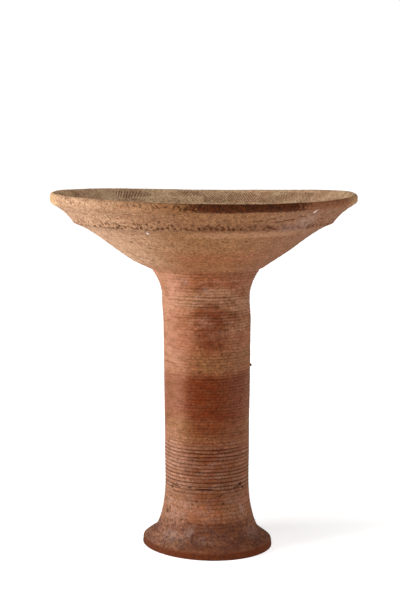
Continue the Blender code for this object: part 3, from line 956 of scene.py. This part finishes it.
# %% Light and dark grains all over the clay
# The clay was mixed with crushed rock. Its grains are lighter or darker than the clay, by up to
# about half, and by up to about a quarter where the clay is smooth. The noise starts at 5 mm,
# coarser than the grains, so that it shows, and its detail goes down to their size.
grains = add_node(tree, "TexNoise", inputs={
    "Vector": position, "Scale": 1 / (5 * MM), "Detail": 5.0, "Roughness": 0.8})
darkest = add_node(tree, "MapRange", inputs={0: smooth_clay, 1: 0.0, 2: 1.0, 3: 0.46, 4: 0.76})
lightest = add_node(tree, "MapRange", inputs={0: smooth_clay, 1: 0.0, 2: 1.0, 3: 1.54, 4: 1.24})
lighter_or_darker = add_node(tree, "MapRange", inputs={
    0: grains, 1: 0.30, 2: 0.70, 3: darkest, 4: lightest})
colour = add_node(tree, "VectorMath", {"operation": "SCALE"}, {0: colour, 3: lighter_or_darker})

# %% Grain and roughness
# The real grain is about a millimetre. It is drawn at 3 mm, so that it still shows.
# The pores swallow most of the sheen that a smooth surface would have, so its level is low.
grain = add_node(tree, "TexNoise", inputs={
    "Vector": position, "Scale": 1 / (3 * MM), "Detail": 3.0, "Roughness": 0.65})
bump = add_node(tree, "Bump", inputs={"Strength": 0.9, "Distance": 0.9 * MM, "Height": grain})
rough = add_node(tree, "MapRange", inputs={0: grain, 1: 0.3, 2: 0.7, 3: 0.84, 4: 0.96})
skin = add_node(tree, "BsdfPrincipled", inputs={
    "Base Color": colour, "Roughness": rough, "Normal": bump,
    "Metallic": 0.0, "IOR": 1.5, "Specular IOR Level": 0.12})
add_node(tree, "OutputMaterial", inputs={"Surface": skin})
vessel.data.materials.clear()
vessel.data.materials.append(clay)
print(clay.name, "has", len(tree.nodes), "nodes")

# %% [markdown]
# ## A white table, soft light and the camera
# The pot stands on a plain white table that glows a little, as a lit table in a photographer's
# studio does, so shadows on it stay faint. A large lamp stands on the left, a weak one on the
# right, a third hangs overhead, and the room gives the rest. The white seen behind the pot is
# brighter than the light that it sends. The camera has a long lens, stands a little higher than
# the lip and looks slightly down.

# %% The table
TABLE_RADIUS = 40.0
bpy.ops.mesh.primitive_circle_add(vertices=96, radius=TABLE_RADIUS, fill_type="NGON")
table = bpy.context.object
table.name = "studio_table"
# White board painted matt: it is bright all over and mirrors nothing.
white = bpy.data.materials.new("lit_white_table")
white.use_nodes = True
top = white.node_tree
top.nodes.clear()
from_pot = add_node(top, "VectorMath", {"operation": "LENGTH"},
                    {0: add_node(top, "TexCoord", output="Object")}, output="Value")
# Its glow grows from 0.62 near the foot to 1.02 at 1.6 m from it.
table_glow = add_node(top, "MapRange", inputs={0: from_pot, 1: 0.2, 2: 1.6, 3: 0.62, 4: 1.02})
matt_paint = add_node(top, "BsdfPrincipled", inputs={
    "Base Color": linear("#E4E4E4"), "Roughness": 0.9,
    "Emission Color": linear("#FFFFFF"), "Emission Strength": table_glow})
add_node(top, "OutputMaterial", inputs={"Surface": matt_paint})
table.data.materials.append(white)
print(table.name, "is", round(2 * TABLE_RADIUS), "m across")

# %% The room
world = bpy.data.worlds.new("soft_room")
bpy.context.scene.world = world
world.use_nodes = True
room = world.node_tree
room.nodes.clear()
seen_directly = add_node(room, "LightPath", output="Is Camera Ray")
# It lights the pot with a strength of 0.15, and is seen behind it at 1.05.
room_glow = add_node(room, "MapRange", inputs={
    0: seen_directly, 1: 0.0, 2: 1.0, 3: 0.15, 4: 1.05})
backdrop = add_node(room, "Background", inputs={
    "Color": linear("#FFFFFF"), "Strength": room_glow})
add_node(room, "OutputWorld", inputs={"Surface": backdrop})

# %% The lamps
def softbox(name, stand, target, size, power):
    """A square lamp that shines from its stand towards a target."""
    lamp = bpy.data.lights.new(name, "AREA")
    lamp.size, lamp.energy = size, power
    holder = bpy.data.objects.new(name, lamp)
    direction = np.subtract(target, stand)
    holder.location = stand
    holder.rotation_euler = (
        math.atan2(math.hypot(direction[0], direction[1]), -direction[2]), 0.0,
        math.atan2(-direction[0], direction[1]))
    bpy.context.scene.collection.objects.link(holder)


# name, stand and target in metres, width in metres, power in watts
softbox("key_on_the_left", (-2.65, -0.9, 1.15), (0, 0, 0.4), 1.4, 88)
softbox("weak_fill_on_the_right", (2.6, -1.2, 0.9), (0, 0, 0.4), 1.8, 30)
softbox("overhead", (-0.2, -0.9, 2.7), (0, 0, 0.5), 1.6, 30)
print("lamps:", ", ".join(light.name for light in bpy.data.lights))

# %% The camera
LENS, PICTURE_HEIGHT = 83.18, 36.0  # in millimetres
CAMERA_PLACE = (6.3 * MM, -2.535, 0.775)
LOOKS_DOWN, TURNED = 7.12, 0.297  # in degrees
camera_data = bpy.data.cameras.new("camera")
camera_data.sensor_fit = "VERTICAL"
camera_data.sensor_height = PICTURE_HEIGHT
camera_data.lens = LENS
camera = bpy.data.objects.new("camera", camera_data)
camera.location = CAMERA_PLACE
camera.rotation_euler = (math.radians(90 - LOOKS_DOWN), 0.0, math.radians(TURNED))
bpy.context.scene.collection.objects.link(camera)
bpy.context.scene.camera = camera
bpy.context.scene.view_settings.view_transform = "Standard"
print("camera", round(camera.location.z / MM), "mm above the table")
